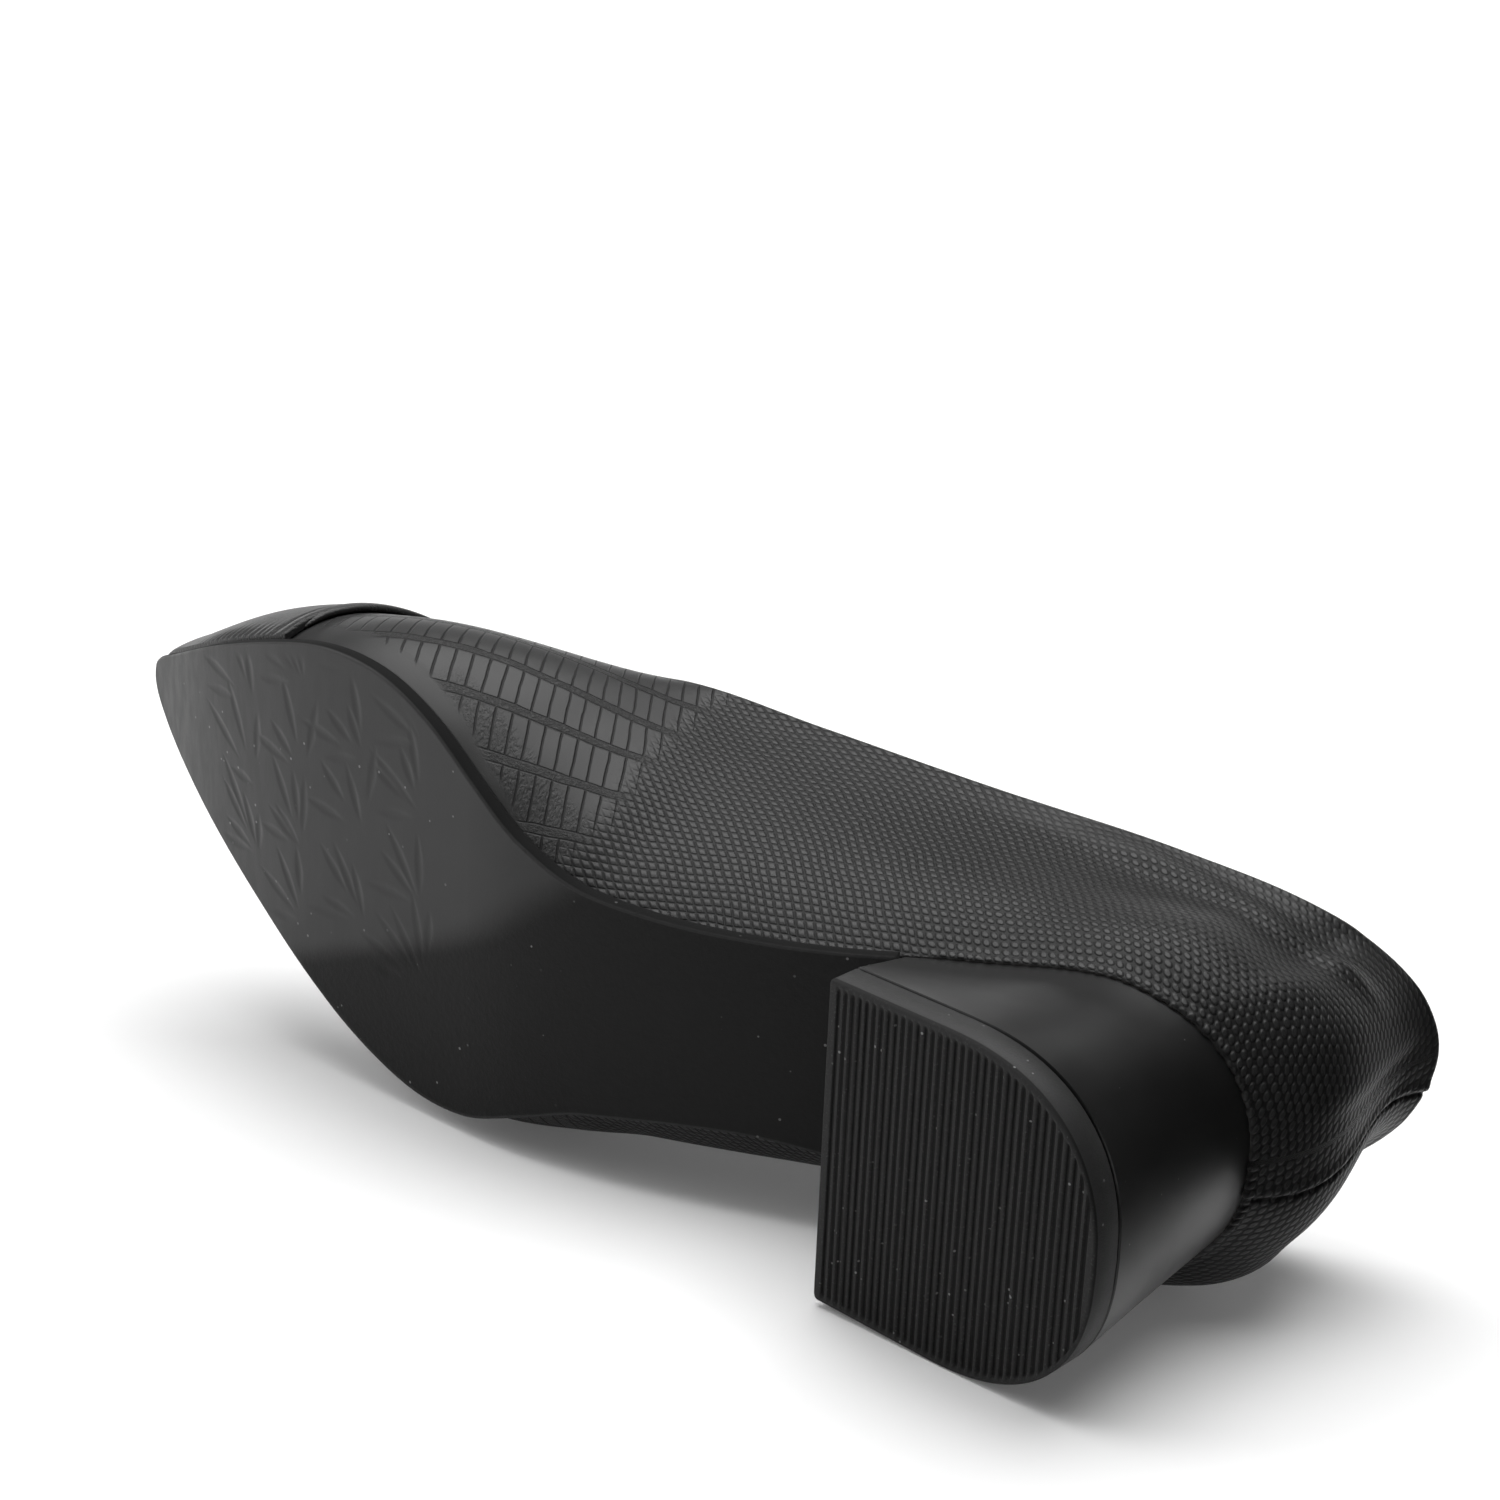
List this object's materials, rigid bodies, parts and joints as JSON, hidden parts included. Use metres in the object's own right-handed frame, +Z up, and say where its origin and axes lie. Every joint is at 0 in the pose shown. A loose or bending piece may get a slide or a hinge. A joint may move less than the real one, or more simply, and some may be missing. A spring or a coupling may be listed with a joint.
{
  "type": "court shoe",
  "caption": "Right cap-toe court shoe with a thin leather sole and a block heel, empty, lying on its outer side.",
  "frame": {"origin": "on the floor under the middle of the lying shoe, half way along each side of its bounding box", "axes": "+Z up from the floor it lies on, which is also towards the wearer's left, the inner side of this right shoe; the toe points to -X, the heel's back to +X; the sole faces -Y and the open collar +Y"},
  "size_m": [0.2454, 0.1118, 0.0893],
  "materials": {
    "upper_leather": "scale-embossed, semi-gloss",
    "cap_leather": "smooth, semi-gloss",
    "sole_leather": "satin, worn to a light gloss under the ball",
    "insole_lining": "matte",
    "heel_lacquer": "satin lacquer",
    "tread_rubber": "ribbed, matte"
  },
  "bodies": {
    "root": {"upper": "upper_leather", "toe_cap": "cap_leather", "outsole": "sole_leather", "insole": "insole_lining", "heel": "heel_lacquer", "top_piece": "tread_rubber"}
  },
  "joints": []
}
